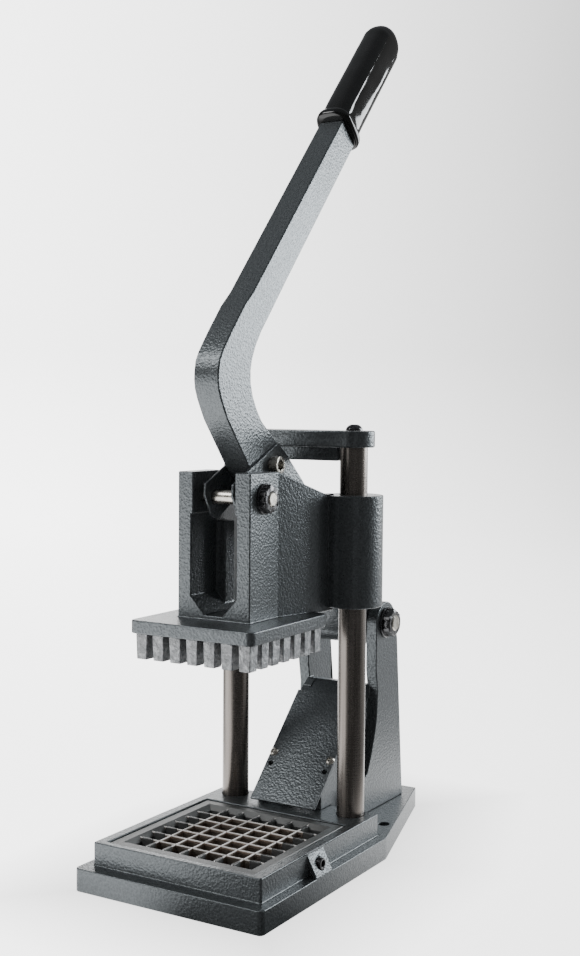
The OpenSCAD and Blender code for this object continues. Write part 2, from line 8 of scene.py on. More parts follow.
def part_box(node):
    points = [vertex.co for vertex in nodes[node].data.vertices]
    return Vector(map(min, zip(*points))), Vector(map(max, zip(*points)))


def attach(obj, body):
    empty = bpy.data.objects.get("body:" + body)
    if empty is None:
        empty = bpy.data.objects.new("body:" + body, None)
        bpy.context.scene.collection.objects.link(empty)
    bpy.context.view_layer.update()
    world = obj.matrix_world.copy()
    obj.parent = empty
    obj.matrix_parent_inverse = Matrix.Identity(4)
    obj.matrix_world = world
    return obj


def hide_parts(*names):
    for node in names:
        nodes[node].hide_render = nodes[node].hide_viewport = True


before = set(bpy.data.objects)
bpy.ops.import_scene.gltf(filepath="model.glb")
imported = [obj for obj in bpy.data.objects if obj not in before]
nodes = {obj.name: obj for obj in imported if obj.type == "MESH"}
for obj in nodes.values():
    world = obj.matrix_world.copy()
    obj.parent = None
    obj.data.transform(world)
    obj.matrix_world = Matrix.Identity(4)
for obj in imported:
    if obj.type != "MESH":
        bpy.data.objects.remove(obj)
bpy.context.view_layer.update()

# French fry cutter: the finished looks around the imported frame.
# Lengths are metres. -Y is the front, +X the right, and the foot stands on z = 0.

MM = 0.001
WELD = 2e-6
TURN = 2 * math.pi

# Camera
CAMERA_PLACE = (0.50784, -0.83948, 0.32953)
CAMERA_AZIMUTH = math.radians(31.012)
CAMERA_DIP = math.radians(3.138)
CAMERA_ROLL = math.radians(0.446)
CAMERA_LENS = 83.466
SENSOR = 36

# Studio: the two directions along which the stage's materials lay out their glow, which are the way
# to the right and the way back as the camera sees them
ACROSS = (math.cos(CAMERA_AZIMUTH), math.sin(CAMERA_AZIMUTH), 0)
BEHIND = (-math.sin(CAMERA_AZIMUTH), math.cos(CAMERA_AZIMUTH), 0)
# Glow of the paper at the left and at the right, and its gain on the floor
REAR_GLOW = (4.6, 1.15)
FLOOR_GAIN = 1.3
# Glow of the tent beside the part (left, right), and on the camera's side (low at the left, elsewhere)
SIDE_GLOW = (0.5, 1.0)
NEAR_GLOW = (4.4, 0.1)
# Half the width of the tent's bright back at the part, and what it gains per metre behind it
REAR_HALF = 0.15
REAR_SLOPE = 0.2
# Air of the studio
AIR_COLOUR = (0.92, 0.96, 1.0, 1)
AIR_GLOW = 0.32
# The foot's painted contact shadow on the floor is laid out by the sizes below
# Half the foot's width and depth, then its taper at the back: direction across it, and its distance
# from the middle
FOOT_HALF = (0.075, 0.149)
TAIL_NORMAL = (0.958, 0.286)
TAIL_REACH = 0.0776

# Blade grid, pusher and grip, as the source has them
CELLS = 7
PITCH = 13.8 * MM
PEG_SIDE = 9.6 * MM
LEVER_RISE = math.radians(48.1)
LEVER_END = Vector((0, 0.0717, 0.5363))
GRIP_LENGTH = 124 * MM


# ---------------------------------------------------------------- shared tools

def link_object(name, mesh):
    """A new object at the origin that holds the mesh."""
    obj = bpy.data.objects.new(name, mesh)
    bpy.context.scene.collection.objects.link(obj)
    return obj


def object_from(name, bm):
    """Turns a finished bmesh into an object."""
    mesh = bpy.data.meshes.new(name)
    bm.normal_update()
    bm.to_mesh(mesh)
    bm.free()
    return link_object(name, mesh)


def settle(obj):
    """Applies the modifiers of obj, so that its mesh is final."""
    graph = bpy.context.evaluated_depsgraph_get()
    mesh = bpy.data.meshes.new_from_object(obj.evaluated_get(graph), depsgraph=graph)
    mesh.name = obj.name
    obj.modifiers.clear()
    obj.data = mesh
    return obj


def smooth(obj, degrees=None):
    """Smooth shading, with creases kept where faces meet at more than the given angle."""
    for face in obj.data.polygons:
        face.use_smooth = True
    if degrees is not None:
        obj.data.set_sharp_from_angle(angle=math.radians(degrees))
    return obj


def even_normals(obj):
    """Lets the large faces set the shading, so that flats stay flat beside a rounded edge."""
    weigh = obj.modifiers.new("even normals", "WEIGHTED_NORMAL")
    weigh.keep_sharp = True
    return settle(obj)


def finish_piece(obj, body, slot, material, *replaced):
    """Gives a finished mesh its material, its body and the CAD nodes that it stands for."""
    obj.data.materials.clear()
    obj.data.materials.append(material)
    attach(obj, body)
    if replaced:
        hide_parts(*replaced)


def softened(name, node, edge, sharp_degrees):
    """A copy of a CAD node whose edges and inner corners are rounded, as a casting's are."""
    bm = bmesh.new()
    bm.from_mesh(nodes[node].data)
    bmesh.ops.remove_doubles(bm, verts=bm.verts, dist=WELD)
    bmesh.ops.dissolve_limit(bm, angle_limit=math.radians(0.4), verts=bm.verts, edges=bm.edges)
    limit = math.radians(sharp_degrees)
    sharp = [e for e in bm.edges if len(e.link_faces) == 2 and e.calc_face_angle() > limit]
    bmesh.ops.bevel(bm, geom=sharp, offset=edge, offset_type="OFFSET", segments=3, profile=0.5,
                    affect="EDGES", clamp_overlap=False)
    return even_normals(smooth(object_from(name, bm)))


def hexagon_factor(angle):
    """Radius of a hexagon at an angle, where its flats are 1 from the middle."""
    sixth = TURN / 6
    return 1 / math.cos((angle % sixth) - sixth / 2)


def turned(bm, rings, place, sides=48):
    """Adds a turned piece to bm: rings of (radius, height, six-sided or not), from one end to the other."""
    loops = []
    for radius, height, six in rings:
        loop = []
        for i in range(sides):
            angle = TURN * i / sides
            reach = radius * (hexagon_factor(angle) if six else 1)
            point = Vector((reach * math.cos(angle), reach * math.sin(angle), height))
            loop.append(bm.verts.new(place @ point))
        loops.append(loop)
    for low, high in zip(loops, loops[1:]):
        for i in range(sides):
            j = (i + 1) % sides
            bm.faces.new((low[i], low[j], high[j], high[i]))
    bm.faces.new(list(reversed(loops[0])))
    bm.faces.new(loops[-1])


def along_x(side, x, y, z):
    """A frame whose +Z points outwards along X on that side."""
    return Matrix.Translation((side * x, y, z)) @ Matrix.Rotation(side * math.pi / 2, 4, "Y")


def middle(node):
    """The middle of a CAD node's box."""
    low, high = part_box(node)
    return (low + high) / 2


# ------------------------------------------------------------------- materials

class Finish:
    """A material under construction. Patterns are read on Object coordinates."""

    def __init__(self, name, **sockets):
        self.material = bpy.data.materials.new(name)
        self.material.use_nodes = True
        self.tree = self.material.node_tree
        self.shader = self.tree.nodes["Principled BSDF"]
        for socket, value in sockets.items():
            self.shader.inputs[socket.replace("_", " ")].default_value = value
        self.place = self.add("ShaderNodeTexCoord").outputs["Object"]

    def add(self, kind, inputs=None, **settings):
        node = self.tree.nodes.new(kind)
        for key, value in settings.items():
            setattr(node, key, value)
        for key, value in (inputs or {}).items():
            self.wire(value, node.inputs[key])
        return node

    def wire(self, value, socket):
        if isinstance(value, bpy.types.NodeSocket):
            self.tree.links.new(value, socket)
        else:
            socket.default_value = value

    def stretched(self, scale):
        """The place, scaled by a different amount along each axis."""
        return self.add("ShaderNodeMapping", {"Vector": self.place, "Scale": scale}).outputs[0]

    def noise(self, scale, detail=2.0, rough=0.5, place=None):
        inputs = {"Vector": place or self.place, "Scale": scale, "Detail": detail, "Roughness": rough}
        return self.add("ShaderNodeTexNoise", inputs).outputs[0]

    def cells(self, scale, place=None, blend=0.5):
        inputs = {"Vector": place or self.place, "Scale": scale, "Smoothness": blend}
        return self.add("ShaderNodeTexVoronoi", inputs, feature="SMOOTH_F1").outputs["Distance"]

    def warped(self, scale, amount):
        """The place, pushed about by noise."""
        colour = self.add("ShaderNodeTexNoise", {"Vector": self.place, "Scale": scale}).outputs["Color"]
        centred = self.add("ShaderNodeVectorMath", {0: colour, 1: (0.5, 0.5, 0.5)}, operation="SUBTRACT")
        pushed = self.add("ShaderNodeVectorMath", {0: centred.outputs[0]}, operation="SCALE")
        pushed.inputs["Scale"].default_value = amount
        total = self.add("ShaderNodeVectorMath", {0: self.place, 1: pushed.outputs[0]}, operation="ADD")
        return total.outputs[0]

    def spread(self, value, low, high, to_low=0.0, to_high=1.0):
        inputs = {"Value": value, "From Min": low, "From Max": high, "To Min": to_low, "To Max": to_high}
        return self.add("ShaderNodeMapRange", inputs).outputs[0]

    def maths(self, operation, a, b):
        return self.add("ShaderNodeMath", {0: a, 1: b}, operation=operation).outputs[0]

    def blend(self, share, a, b):
        """a where the share is 0, b where it is 1."""
        return self.maths("ADD", a, self.maths("MULTIPLY", share, self.maths("SUBTRACT", b, a)))

    def colours(self, value, *stops):
        """A colour ramp: stops are (position, colour)."""
        ramp = self.add("ShaderNodeValToRGB", {"Fac": value})
        points = ramp.color_ramp.elements
        while len(points) < len(stops):
            points.new(0.5)
        for point, (position, colour) in zip(points, stops):
            point.position = position
            point.color = (*colour, 1)
        return ramp.outputs[0]

    def mixed(self, share, a, b):
        node = self.add("ShaderNodeMix", data_type="RGBA")
        for key, value in ((0, share), (6, a), (7, b)):
            self.wire(value, node.inputs[key])
        return node.outputs[2]

    def dot(self, direction):
        """How far the place lies along a direction."""
        inputs = {0: self.place, 1: direction}
        return self.add("ShaderNodeVectorMath", inputs, operation="DOT_PRODUCT").outputs["Value"]

    def size(self, axis):
        """How far the place lies from the middle along X (0), Y (1) or Z (2), on either side."""
        parts = self.add("ShaderNodeSeparateXYZ", {0: self.place})
        return self.maths("ABSOLUTE", parts.outputs[axis], 0.0)

    def bump(self, height, strength, distance):
        inputs = {"Height": height, "Strength": strength, "Distance": distance}
        return self.add("ShaderNodeBump", inputs).outputs[0]

    def set(self, **sockets):
        for socket, value in sockets.items():
            self.wire(value, self.shader.inputs[socket.replace("_", " ")])
        return self.material


def hammered_paint():
    """Hammer enamel: a dark grey-blue lacquer with metal in it, drawn into shallow dimples."""
    paint = Finish("hammered_paint", Metallic=0.78)
    drawn = paint.warped(380.0, 0.0016)
    dimples = paint.cells(560.0, drawn, 0.35)
    ripple = paint.noise(950.0, 2.0)
    height = paint.maths("ADD", paint.maths("MULTIPLY", dimples, 1.3), paint.maths("MULTIPLY", ripple, 0.7))
    patches = paint.noise(16.0, 3.0)
    # The colour is darker down in each dimple and lighter up on its rim
    colour = paint.colours(dimples, (0.1, (0.062, 0.068, 0.072)), (0.7, (0.082, 0.090, 0.095)))
    dulled = paint.mixed(paint.spread(patches, 0.35, 0.75, 0.0, 0.25), colour, (0.056, 0.063, 0.063, 1))
    gloss = paint.spread(ripple, 0.3, 0.7, 0.27, 0.38)
    return paint.set(Base_Color=dulled, Roughness=gloss, Normal=paint.bump(height, 0.34, 0.0005))


def ground_steel():
    """Ground shafting: brownish grey, with fine rings of grinding marks and soft lighter and darker streaks
    along its length.
    """
    steel = Finish("ground_steel", Metallic=1.0)
    rings = steel.noise(1.0, 3.0, 0.6, steel.stretched((40.0, 40.0, 5200.0)))
    streaks = steel.noise(1.0, 3.0, 0.6, steel.stretched((260.0, 260.0, 9.0)))
    colour = steel.colours(streaks, (0.3, (0.105, 0.093, 0.084)), (0.7, (0.18, 0.165, 0.153)))
    gloss = steel.spread(steel.maths("ADD", rings, streaks), 0.7, 1.3, 0.2, 0.34)
    return steel.set(Base_Color=colour, Roughness=gloss, Normal=steel.bump(rings, 0.06, 0.0001))


def raw_aluminium():
    """Sand-cast aluminium: dull, pitted and smeared."""
    metal = Finish("raw_aluminium", Metallic=0.7)
    grain = metal.noise(700.0, 4.0, 0.7)
    lumps = metal.noise(210.0, 3.0, 0.6)
    colour = metal.colours(
        lumps, (0.34, (0.15, 0.155, 0.16)), (0.5, (0.21, 0.215, 0.22)), (0.7, (0.36, 0.37, 0.38)))
    height = metal.maths("ADD", grain, metal.maths("MULTIPLY", lumps, 2.5))
    return metal.set(Base_Color=colour, Roughness=metal.spread(grain, 0.3, 0.7, 0.38, 0.58),
                     Normal=metal.bump(height, 0.7, 0.0009))


def dark_casting():
    """The blade frame: a dark satin casting with a fine grain."""
    metal = Finish("dark_casting", Metallic=0.45)
    grain = metal.noise(900.0, 3.0, 0.6)
    patches = metal.noise(45.0, 3.0)
    colour = metal.colours(patches, (0.3, (0.060, 0.062, 0.061)), (0.7, (0.095, 0.097, 0.095)))
    return metal.set(Base_Color=colour, Roughness=metal.spread(grain, 0.3, 0.7, 0.36, 0.52),
                     Normal=metal.bump(grain, 0.2, 0.0003))


def blade_steel():
    """Thin ground blades, with a painted highlight along the cutting edge."""
    steel = Finish("blade_steel")
    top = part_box("blades_crosswise")[1].z
    # The ground edge is real; its near-white, hardly metallic band along the top is a painted highlight
    edge = steel.spread(steel.size(2), top - 0.9 * MM, top - 0.5 * MM)
    marks = steel.noise(1.0, 2.0, 0.5, steel.stretched((260.0, 260.0, 2600.0)))
    colour = steel.colours(marks, (0.3, (0.27, 0.22, 0.185)), (0.7, (0.40, 0.345, 0.30)))
    return steel.set(
        Base_Color=steel.mixed(edge, colour, (1.0, 0.97, 0.93, 1)),
        Metallic=steel.spread(edge, 0.0, 1.0, 1.0, 0.1), Roughness=steel.spread(edge, 0.0, 1.0, 0.34, 0.5),
        Normal=steel.bump(marks, 0.08, 0.0001))


def black_grip():
    """Dipped black vinyl, glossy and a little wavy."""
    vinyl = Finish("black_grip", Specular_IOR_Level=0.36)
    waves = vinyl.noise(55.0, 1.0)
    colour = vinyl.colours(waves, (0.3, (0.001, 0.001, 0.001)), (0.7, (0.002, 0.002, 0.002)))
    return vinyl.set(Base_Color=colour, Roughness=vinyl.spread(waves, 0.3, 0.7, 0.04, 0.1),
                     Normal=vinyl.bump(waves, 0.18, 0.002))


def black_steel():
    """Blackened fasteners, worn to grey in places."""
    steel = Finish("black_steel", Metallic=0.8, Coat_Weight=0.4, Coat_Roughness=0.12)
    wear = steel.noise(320.0, 4.0, 0.6)
    colour = steel.colours(wear, (0.45, (0.018, 0.018, 0.02)), (0.8, (0.09, 0.09, 0.095)))
    return steel.set(Base_Color=colour, Roughness=steel.spread(wear, 0.3, 0.7, 0.2, 0.38),
                     Normal=steel.bump(wear, 0.1, 0.0002))


def bright_steel():
    """Zinc-plated bolts and screws, a little yellow."""
    steel = Finish("bright_steel", Metallic=1.0)
    haze = steel.noise(260.0, 4.0, 0.6)
    colour = steel.colours(haze, (0.3, (0.30, 0.285, 0.25)), (0.7, (0.46, 0.445, 0.41)))
    return steel.set(Base_Color=colour, Roughness=steel.spread(haze, 0.3, 0.7, 0.2, 0.36),
                     Normal=steel.bump(haze, 0.08, 0.0002))


def foot_shade(paper):
    """Painted contact shadow of the foot: 1 out on the floor, falling to 0 under the foot."""
    flank = paper.maths("SUBTRACT", paper.size(0), FOOT_HALF[0])
    front = paper.maths("SUBTRACT", paper.size(1), FOOT_HALF[1])
    cross, along = TAIL_NORMAL
    toward = paper.maths("ADD", paper.maths("MULTIPLY", paper.size(0), cross), paper.dot((0, along, 0)))
    tail = paper.maths("SUBTRACT", toward, TAIL_REACH)
    gap = paper.maths("MAXIMUM", paper.maths("MAXIMUM", flank, front), tail)
    # Painted shadow: full under the foot, about half at its edge, gone 9 cm out
    contact_shadow = paper.spread(gap, -0.012, 0.0, 0.0, 0.55)
    around = paper.spread(gap, 0.0, 0.09, 0.0, 0.45)
    return paper.maths("ADD", contact_shadow, around)


def rear_glow(paper, across, height):
    """Bright at the left and softer to the right, and a little brighter on the floor."""
    floor = paper.spread(height, 0.02, 0.5, FLOOR_GAIN, 1.0)
    return paper.maths("MULTIPLY", floor, paper.spread(across, -1.0, 1.2, *REAR_GLOW))


def studio_paper():
    """Pale paper whose glow falls off from the left to the right of the camera's view."""
    paper = Finish("studio_paper", Roughness=0.9, Specular_IOR_Level=0.1, Emission_Color=(1, 1, 1, 1))
    across = paper.dot(ACROSS)
    glow = rear_glow(paper, across, paper.dot((0, 0, 1)))
    fibre = paper.noise(3.0, 2.0)
    colour = paper.colours(fibre, (0.3, (0.018, 0.018, 0.018)), (0.7, (0.022, 0.022, 0.022)))
    # The glow is dimmed near the foot by its painted contact shadow
    return paper.set(Base_Color=colour, Emission_Strength=paper.maths("MULTIPLY", glow, foot_shade(paper)))


def tent_cloth():
    """What the metal mirrors: bright behind the part, softer beside it, dark on the camera's side."""
    cloth = Finish("tent_cloth", Roughness=1.0, Specular_IOR_Level=0.0, Emission_Color=(1, 1, 1, 1))
    right = cloth.dot((1, 0, 0))
    across = cloth.dot(ACROSS)
    behind = cloth.dot(BEHIND)
    height = cloth.dot((0, 0, 1))
    square = cloth.maths("ADD", cloth.maths("POWER", across, 2.0), cloth.maths("POWER", behind, 2.0))
    reach = cloth.maths("MAXIMUM", cloth.maths("SQRT", square, 0.0), 0.01)

    # A bright patch, low and towards the left on the camera's side
    turn = cloth.maths("DIVIDE", cloth.maths("SUBTRACT", 0.05, right), reach)
    away = cloth.maths("DIVIDE", behind, reach)
    patch = cloth.maths("MULTIPLY", cloth.spread(turn, 0.24, 0.5), cloth.spread(away, 0.1, 0.5, 1.0, 0.0))
    lit = cloth.maths("MULTIPLY", patch, cloth.spread(height, 0.05, 0.5, 1.0, 0.0))
    # The two sides, dimmer with height, and dark towards the camera
    open_side = cloth.spread(away, -0.45, 0.3)
    side_glow = cloth.maths("MULTIPLY", cloth.spread(across, -1.5, 1.5, *SIDE_GLOW),
                            cloth.spread(height, 0.4, 1.1, 1.0, 0.3))
    beside = cloth.blend(open_side, NEAR_GLOW[1], side_glow)
    around = cloth.maths("MAXIMUM", beside, cloth.maths("MULTIPLY", lit, NEAR_GLOW[0]))

    # The bright back, which widens with the distance
    side = cloth.maths("ABSOLUTE", across, 0.0)
    edge = cloth.maths("ADD", cloth.maths("MULTIPLY", behind, REAR_SLOPE), REAR_HALF)
    inside = cloth.spread(cloth.maths("SUBTRACT", side, edge), 0.0, 0.12, 1.0, 0.0)
    back = cloth.maths("MULTIPLY", inside, cloth.spread(behind, -0.14, 0.0))
    glow = cloth.blend(back, around, rear_glow(cloth, across, height))
    # The foot's painted contact shadow dims the tent too, so reflections low by the foot are darker
    return cloth.set(Base_Color=(0.02, 0.02, 0.02, 1),
                     Emission_Strength=cloth.maths("MULTIPLY", glow, foot_shade(cloth)))


# -------------------------------------------------------------- geometry nodes

class Tree:
    """A Geometry Nodes tree with named inputs, used once on an object and then settled."""

    def __init__(self, name, material, **sizes):
        self.group = bpy.data.node_groups.new(name, "GeometryNodeTree")
        self.group.interface.new_socket("Geometry", in_out="OUTPUT", socket_type="NodeSocketGeometry")
        self.sizes = sizes
        self.keys = {}
        for label, value in sizes.items():
            kind = "NodeSocketInt" if isinstance(value, int) else "NodeSocketFloat"
            socket = self.group.interface.new_socket(label, in_out="INPUT", socket_type=kind)
            self.keys[label] = socket.identifier
        self.inputs = self.group.nodes.new("NodeGroupInput")
        self.output = self.group.nodes.new("NodeGroupOutput")
        self.material = material

    def size(self, label):
        return self.inputs.outputs[label]

    def add(self, kind, inputs=None, **settings):
        node = self.group.nodes.new(kind)
        for key, value in settings.items():
            setattr(node, key, value)
        for key, value in (inputs or {}).items():
            if isinstance(value, bpy.types.NodeSocket):
                self.group.links.new(value, node.inputs[key])
            else:
                node.inputs[key].default_value = value
        return node

    def maths(self, operation, a, b):
        return self.add("ShaderNodeMath", {0: a, 1: b}, operation=operation).outputs[0]

    def vector(self, x=0.0, y=0.0, z=0.0):
        return self.add("ShaderNodeCombineXYZ", {0: x, 1: y, 2: z}).outputs[0]

    def rotated(self, geometry, rotation):
        return self.add("GeometryNodeTransform", {"Geometry": geometry, "Rotation": rotation}).outputs[0]

    def joined(self, *parts):
        node = self.add("GeometryNodeJoinGeometry")
        for part in parts:
            self.group.links.new(part, node.inputs[0])
        return node.outputs[0]

    def copies(self, points, instance, **inputs):
        wired = {"Points": points, "Instance": instance, **inputs}
        return self.add("GeometryNodeInstanceOnPoints", wired).outputs[0]

    def made(self, name, geometry, place=(0, 0, 0)):
        """Realizes the copies, sets the material and settles the result as a plain mesh at a place."""
        real = self.add("GeometryNodeRealizeInstances", {0: geometry}).outputs[0]
        painted = self.add("GeometryNodeSetMaterial", {"Geometry": real, "Material": self.material})
        self.group.links.new(painted.outputs[0], self.output.inputs[0])
        obj = link_object(name, bpy.data.meshes.new(name))
        modifier = obj.modifiers.new(name, "NODES")
        modifier.node_group = self.group
        for label, value in self.sizes.items():
            modifier[self.keys[label]] = value
        settle(obj)
        obj.data.transform(Matrix.Translation(place))
        return obj


# ------------------------------------------------------------------ the pieces

def make_castings(paint):
    """The painted castings and plates, each with rounded edges."""
    castings = [
        ("base", "base", "base_casting", 0.8, 24),
        ("stand", "base", "rear_stand", 0.8, 24),
        ("guard", "base", "guard_plate", 0.3, 24),
        ("top_bar", "base", "crossbar", 1.2, 24),
        ("ram", "ram", "ram_casting", 0.9, 12),
        ("lever", "lever", "lever_arm", 1.1, 24),
        ("left_link", "links", "link_left", 0.4, 24),
        ("right_link", "links", "link_right", 0.4, 24),
    ]
    for name, body, node, edge, sharp in castings:
        finish_piece(softened(name, node, edge * MM, sharp), body, "hammered_paint", paint, node)


def make_rods(steel):
    """Two ground guide rods with chamfered ends."""
    chamfer = 0.8 * MM
    for side in ("left", "right"):
        node = "rod_" + side
        low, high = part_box(node)
        radius = (high.x - low.x) / 2
        centre = middle(node)
        bm = bmesh.new()
        rings = [
            (radius - chamfer, low.z, False), (radius, low.z + chamfer, False),
            (radius, high.z - chamfer, False), (radius - chamfer, high.z, False),
        ]
        turned(bm, rings, Matrix.Translation((centre.x, centre.y, 0)), 96)
        rod = smooth(object_from("guide_rod_" + side, bm), 30)
        finish_piece(rod, "base", "ground_steel", steel, node)


def make_blades(steel):
    """The two sets of crossing blades, ground to an edge along the top."""
    edge_share = 0.35
    sets = (("long_blades", "blades_lengthwise", 0), ("cross_blades", "blades_crosswise", 1))
    for name, node, turn in sets:
        low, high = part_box(node)
        size = high - low
        length = size.x if turn else size.y
        tree = Tree(
            name, steel, Lines=CELLS - 1, Pitch=PITCH, Thickness=0.8 * MM, Height=size.z, Length=length,
            Edge=1.6 * MM)
        height = tree.size("Height")
        bar = tree.add("GeometryNodeMeshCube", {
            "Size": tree.vector(tree.size("Thickness"), tree.size("Length"), height),
            "Vertices X": 2, "Vertices Y": 40, "Vertices Z": 12})
        position = tree.add("GeometryNodeInputPosition").outputs[0]
        split = tree.add("ShaderNodeSeparateXYZ", {0: position})
        below_top = tree.maths("SUBTRACT", tree.maths("MULTIPLY", height, 0.5), split.outputs[2])
        share = tree.add("ShaderNodeMapRange", {
            "Value": below_top, "From Min": 0.0, "From Max": tree.size("Edge"),
            "To Min": edge_share, "To Max": 1.0})
        narrowed = tree.vector(tree.maths("MULTIPLY", split.outputs[0], share.outputs[0]),
                               split.outputs[1], split.outputs[2])
        blade = tree.add("GeometryNodeSetPosition", {"Geometry": bar.outputs[0], "Position": narrowed})
        span = tree.maths("MULTIPLY", tree.size("Pitch"), tree.maths("SUBTRACT", tree.size("Lines"), 1.0))
        start = tree.vector(tree.maths("MULTIPLY", span, -0.5))
        line = tree.add("GeometryNodeMeshLine", {
            "Count": tree.size("Lines"), "Start Location": start, "Offset": tree.vector(tree.size("Pitch"))})
        rows = tree.copies(line.outputs[0], blade.outputs[0])
        turned_rows = tree.rotated(rows, (0, 0, turn * math.pi / 2))
        blades = tree.made(name, turned_rows, middle(node))
        finish_piece(blades, "base", "blade_steel", steel, node)


def make_pusher(metal):
    """The pusher: a plate and a field of cast pegs, each a little different."""
    low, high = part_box("pusher_block")
    plate_t = 3 * MM
    taper = 0.1
    middle_share = 0.94
    lean = (0.012, 0.012, 0.02)
    lean_back = tuple(-angle for angle in lean)
    smallest = (0.97, 0.97, 0.985)
    largest = (1.0, 1.0, 1.0)
    tree = Tree(
        "peg_field", metal, Pegs=CELLS, Pitch=PITCH, Side=PEG_SIDE, Height=high.z - low.z - plate_t, Seed=7)
    side = tree.size("Side")
    height = tree.size("Height")
    block = tree.add("GeometryNodeMeshCube", {
        "Size": tree.vector(side, side, height), "Vertices X": 6, "Vertices Y": 6, "Vertices Z": 8})
    position = tree.add("GeometryNodeInputPosition").outputs[0]
    split = tree.add("ShaderNodeSeparateXYZ", {0: position})
    depth = tree.maths("DIVIDE", split.outputs[2], height)
    draft = tree.maths("ADD", tree.maths("MULTIPLY", depth, taper), middle_share)
    tapered = tree.vector(tree.maths("MULTIPLY", split.outputs[0], draft),
                          tree.maths("MULTIPLY", split.outputs[1], draft), split.outputs[2])
    peg = tree.add("GeometryNodeSetPosition", {"Geometry": block.outputs[0], "Position": tapered})
    span = tree.maths("MULTIPLY", tree.size("Pitch"), tree.maths("SUBTRACT", tree.size("Pegs"), 1.0))
    grid = tree.add("GeometryNodeMeshGrid", {
        "Size X": span, "Size Y": span, "Vertices X": tree.size("Pegs"), "Vertices Y": tree.size("Pegs")})
    tilt = tree.add("FunctionNodeRandomValue", {
        0: lean_back, 1: lean, "Seed": tree.size("Seed")}, data_type="FLOAT_VECTOR")
    grow = tree.add("FunctionNodeRandomValue", {
        0: smallest, 1: largest, "Seed": tree.size("Seed")}, data_type="FLOAT_VECTOR")
    pegs = tree.copies(grid.outputs[0], peg.outputs[0], Rotation=tilt.outputs[0], Scale=grow.outputs[0])
    centre = middle("pusher_block")
    peg_middle = (centre.x, centre.y, (low.z + high.z - plate_t) / 2)
    field = tree.made("pusher_pegs", pegs, peg_middle)
    bevel = field.modifiers.new("edges", "BEVEL")
    bevel.width = 0.7 * MM
    bevel.segments = 3
    bevel.limit_method = "ANGLE"
    even_normals(smooth(field))
    finish_piece(field, "ram", "raw_aluminium", metal, "pusher_block")
    bm = bmesh.new()
    size = Matrix.Diagonal((high.x - low.x, high.y - low.y, plate_t, 1))
    place = Matrix.Translation((centre.x, centre.y, high.z - plate_t / 2))
    bmesh.ops.create_cube(bm, size=1, matrix=place @ size)
    bmesh.ops.bevel(bm, geom=bm.edges[:], offset=0.4 * MM, segments=2, profile=0.5, affect="EDGES")
    finish_piece(even_normals(smooth(object_from("pusher_plate", bm))), "ram", "raw_aluminium", metal)


def make_blade_frame(metal):
    """The square frame that holds the blades, with a bevelled mouth and comb teeth."""
    low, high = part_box("blade_frame")
    centre = middle("blade_frame")
    half = (high.x - low.x) / 2
    depth = high.z - low.z
    opening = CELLS * PITCH / 2
    round_edge = 0.5 * MM
    mouth = 3 * MM
    lip = opening + mouth
    profile = [
        (opening, low.z), (half - round_edge, low.z), (half, low.z + round_edge),
        (half, high.z - round_edge), (half - round_edge, high.z), (lip + round_edge, high.z),
        (lip, high.z - round_edge), (opening, high.z - mouth - round_edge),
    ]
    bm = bmesh.new()
    corners = ((-1, -1), (1, -1), (1, 1), (-1, 1))
    loops = [[bm.verts.new((centre.x + sx * r, centre.y + sy * r, z)) for sx, sy in corners]
             for r, z in profile]
    for a, b in zip(loops, loops[1:] + loops[:1]):
        for i in range(len(corners)):
            j = (i + 1) % len(corners)
            bm.faces.new((a[i], a[j], b[j], b[i]))
    bmesh.ops.recalc_face_normals(bm, faces=bm.faces)
    ring = even_normals(smooth(object_from("blade_frame_rim", bm), 40))
    finish_piece(ring, "base", "dark_casting", metal, "blade_frame")

    tooth_height = depth - 1 * MM
    tree = Tree(
        "comb", metal, Lines=CELLS - 1, Pitch=PITCH, Root=3 * MM, Tip=1.5 * MM, Length=9 * MM,
        Height=tooth_height, Opening=opening)
    tooth = tree.add("GeometryNodeMeshCube", {
        "Size": tree.vector(tree.size("Root"), tree.size("Length"), tree.size("Height")),
        "Vertices X": 3, "Vertices Y": 4, "Vertices Z": 5})
    position = tree.add("GeometryNodeInputPosition").outputs[0]
    split = tree.add("ShaderNodeSeparateXYZ", {0: position})
    along = tree.maths("ADD", tree.maths("DIVIDE", split.outputs[1], tree.size("Length")), 0.5)
    tip_share = tree.maths("DIVIDE", tree.size("Tip"), tree.size("Root"))
    width = tree.add("ShaderNodeMapRange", {
        "Value": along, "From Min": 0.0, "From Max": 1.0, "To Min": tip_share, "To Max": 1.0})
    narrowed = tree.vector(tree.maths("MULTIPLY", split.outputs[0], width.outputs[0]),
                           split.outputs[1], split.outputs[2])
    shaped = tree.add("GeometryNodeSetPosition", {"Geometry": tooth.outputs[0], "Position": narrowed})
    span = tree.maths("MULTIPLY", tree.size("Pitch"), tree.maths("SUBTRACT", tree.size("Lines"), 1.0))
    reach = tree.maths("SUBTRACT", tree.size("Opening"), tree.maths("MULTIPLY", tree.size("Length"), 0.5))
    start = tree.vector(tree.maths("MULTIPLY", span, -0.5), reach)
    line = tree.add("GeometryNodeMeshLine", {
        "Count": tree.size("Lines"), "Start Location": start, "Offset": tree.vector(tree.size("Pitch"))})
    row = tree.copies(line.outputs[0], shaped.outputs[0])
    rows = [tree.rotated(row, (0, 0, quarter * math.pi / 2)) for quarter in range(4)]
    comb_middle = (centre.x, centre.y, low.z + tooth_height / 2)
    teeth = tree.made("comb_teeth", tree.joined(*rows), comb_middle)
    bevel = teeth.modifiers.new("edges", "BEVEL")
    bevel.width = 0.35 * MM
    bevel.segments = 2
    bevel.limit_method = "ANGLE"
    finish_piece(even_normals(smooth(teeth)), "base", "dark_casting", metal)


